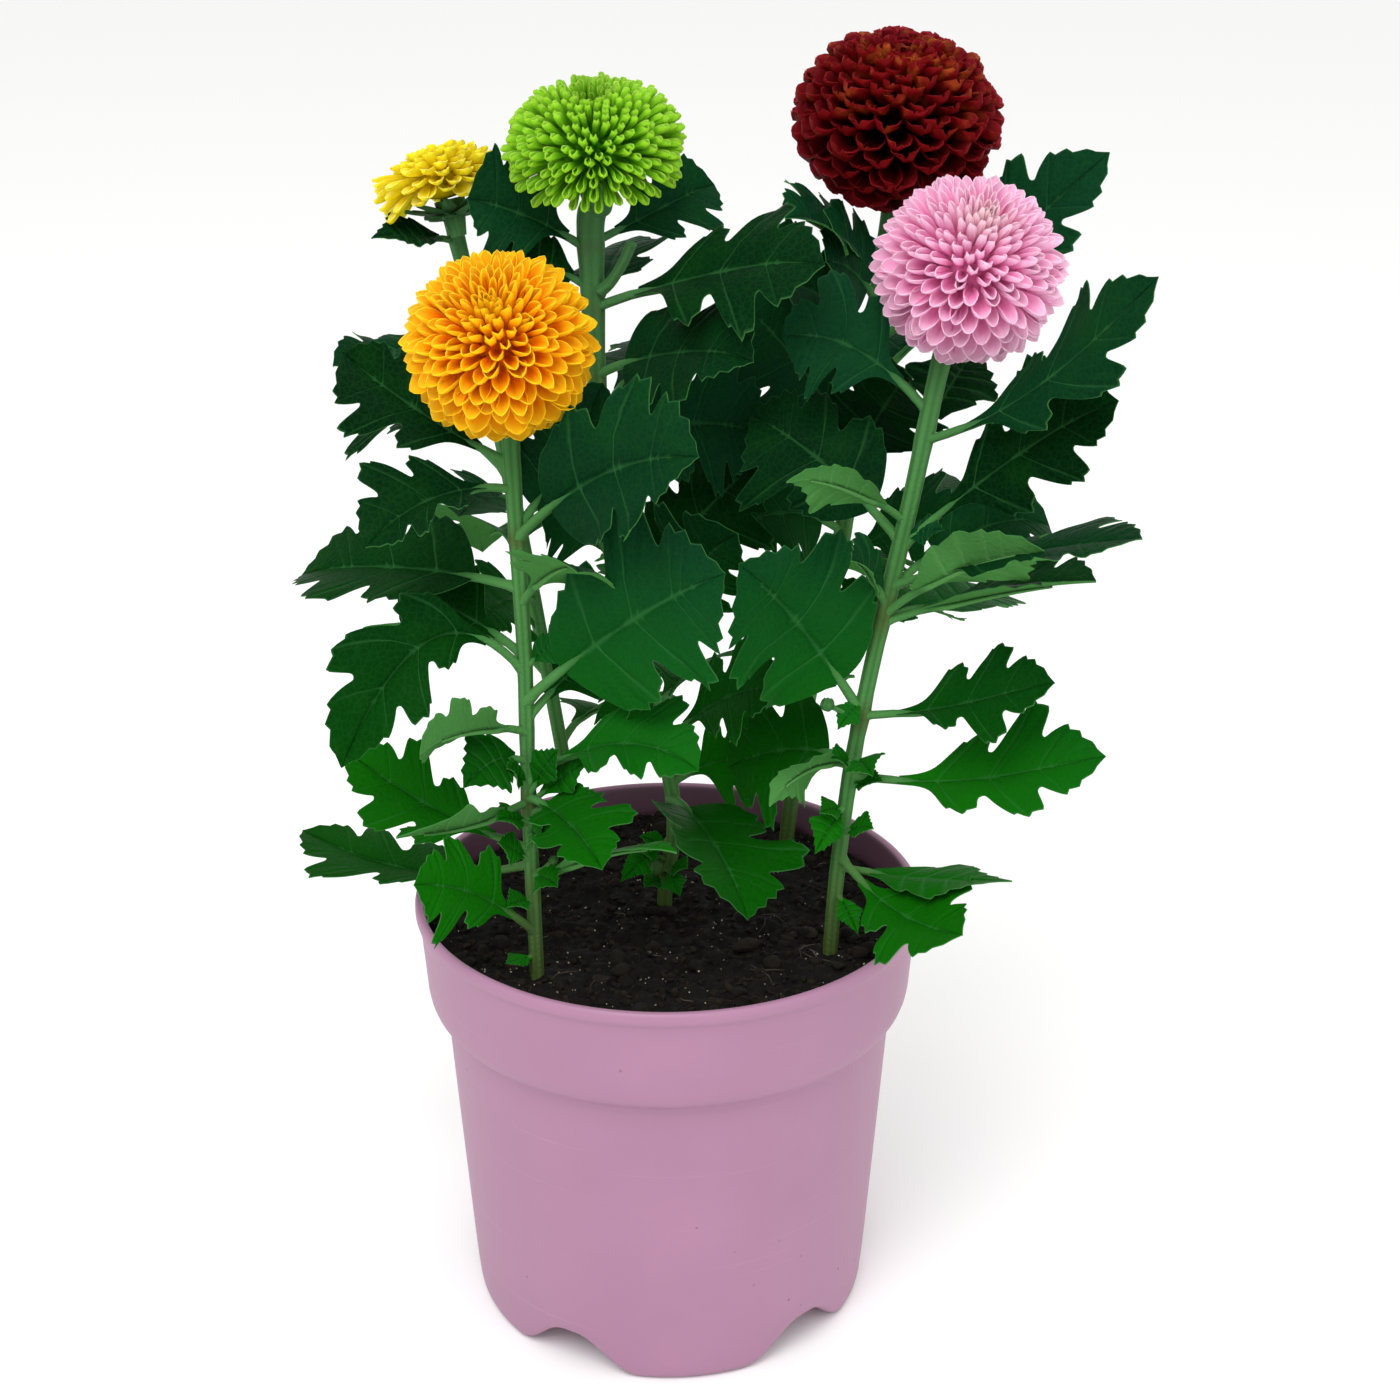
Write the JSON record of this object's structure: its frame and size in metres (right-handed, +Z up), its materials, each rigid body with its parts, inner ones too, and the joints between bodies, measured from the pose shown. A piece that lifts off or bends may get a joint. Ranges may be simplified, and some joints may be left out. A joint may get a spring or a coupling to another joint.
{
  "type": "potted chrysanthemum",
  "caption": "Flowering chrysanthemum with five double flower heads in different colours and lobed leaves, in a footed plastic pot with a collared rim.",
  "frame": {"origin": "centre of the bounding box on the plane of the feet, which is the pot's axis", "axes": "+Z up along the pot's axis, -Y towards the side that the picture shows"},
  "size_m": [0.2023, 0.153, 0.3257],
  "materials": {
    "pot_plastic": "satin",
    "peat": "rough",
    "foliage": "matte",
    "orange_petals": "matte",
    "green_petals": "matte",
    "pink_petals": "matte",
    "red_petals": "matte",
    "yellow_petals": "matte"
  },
  "bodies": {
    "root": {"pot": "pot_plastic", "soil": "peat", "leafy_stem_orange": "foliage", "leafy_stem_green": "foliage", "leafy_stem_pink": "foliage", "leafy_stem_red": "foliage", "leafy_stem_yellow": "foliage", "bloom_orange": "orange_petals", "bloom_green": "green_petals", "bloom_pink": "pink_petals", "bloom_red": "red_petals", "bloom_yellow": "yellow_petals"}
  },
  "joints": []
}
